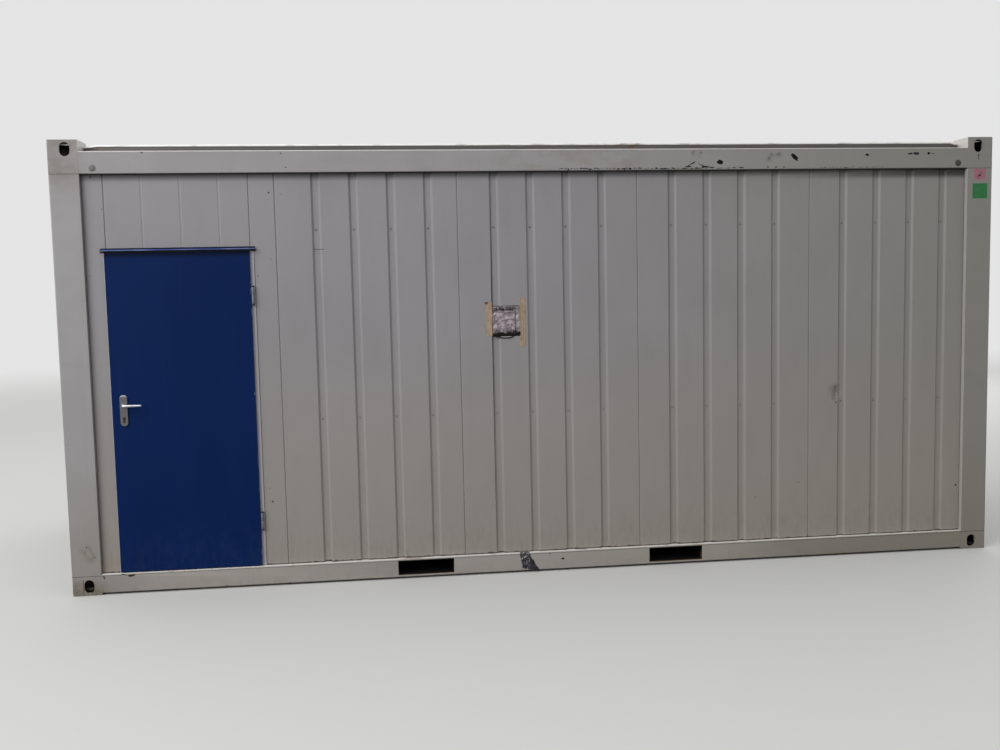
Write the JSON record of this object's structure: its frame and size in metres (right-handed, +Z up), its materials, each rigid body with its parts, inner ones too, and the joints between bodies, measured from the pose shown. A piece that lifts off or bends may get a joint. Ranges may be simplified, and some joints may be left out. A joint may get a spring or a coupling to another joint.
{
  "type": "portable site cabin",
  "caption": "Steel-framed portable site cabin with grooved pale grey walls, corner castings, fork pockets and a blue outward-opening door.",
  "frame": {"origin": "on the ground, at the centre of the four base corner castings", "axes": "+X along the length, to the right when facing the door wall; -Y out of the door wall; +Z up"},
  "size_m": [6.058, 2.4855, 2.8],
  "materials": {
    "frame_paint": "satin, weathered",
    "wall_paint": "satin, weathered",
    "door_paint": "satin",
    "zinc_sheet": "dull galvanised",
    "chipboard": "raw",
    "vinyl": "matt",
    "lining_board": "smooth coated",
    "sill_metal": "brushed",
    "handle_metal": "satin anodised",
    "lock_brass": "satin",
    "hinge_steel": "galvanised",
    "foil": "crumpled",
    "plug_plastic": "matt"
  },
  "bodies": {
    "cabin": {"base_castings": "frame_paint", "top_castings": "frame_paint", "roof_corner_blocks": "frame_paint", "corner_posts": "frame_paint", "floor_rail_front": "frame_paint", "floor_rail_back": "frame_paint", "floor_end_rails": "frame_paint", "roof_side_rails": "frame_paint", "roof_end_rails": "frame_paint", "fork_pockets": "frame_paint", "wall_strip_lock_side": "wall_paint", "wall_strip_hinge_side": "wall_paint", "wall_over_door": "wall_paint", "front_panel_a": "wall_paint", "front_panel_b": "wall_paint", "front_panel_c": "wall_paint", "front_panel_d": "wall_paint", "back_wall": "wall_paint", "end_walls": "wall_paint", "door_jambs": "wall_paint", "door_head": "wall_paint", "drip_rail": "door_paint", "roof_panel": "zinc_sheet", "roof_end_panels": "zinc_sheet", "underfloor_sheet": "zinc_sheet", "floor_joists": "zinc_sheet", "floor_board": "chipboard", "floor_covering": "vinyl", "front_lining": "lining_board", "lining_over_door": "lining_board", "back_lining": "lining_board", "end_linings": "lining_board", "ceiling_board": "lining_board", "threshold": "sill_metal", "frame_hinges": "hinge_steel", "foil_patch": "foil", "rail_plugs": "plug_plastic"},
    "door": {"door_leaf": "door_paint", "handle_plates": "handle_metal", "lock_cylinder": "lock_brass", "lock_faceplate": "sill_metal", "leaf_hinges": "hinge_steel"},
    "handle": {"outside_lever": "handle_metal", "inside_lever": "handle_metal", "lever_spindle": "handle_metal"}
  },
  "joints": [
    {"name": "door_swing", "type": "hinge", "parent": "cabin", "child": "door", "pos_m": [-1.856, -1.2045, 0], "axis": [0, 0, 1], "range_deg": [0, 165]},
    {"name": "handle_turn", "type": "hinge", "parent": "door", "child": "handle", "pos_m": [-2.6635, -1.209, 1.184], "axis": [0, 1, 0], "range_deg": [0, 40], "stiffness_Nm_per_rad": 1.5, "springref_deg": -28.65}
  ]
}
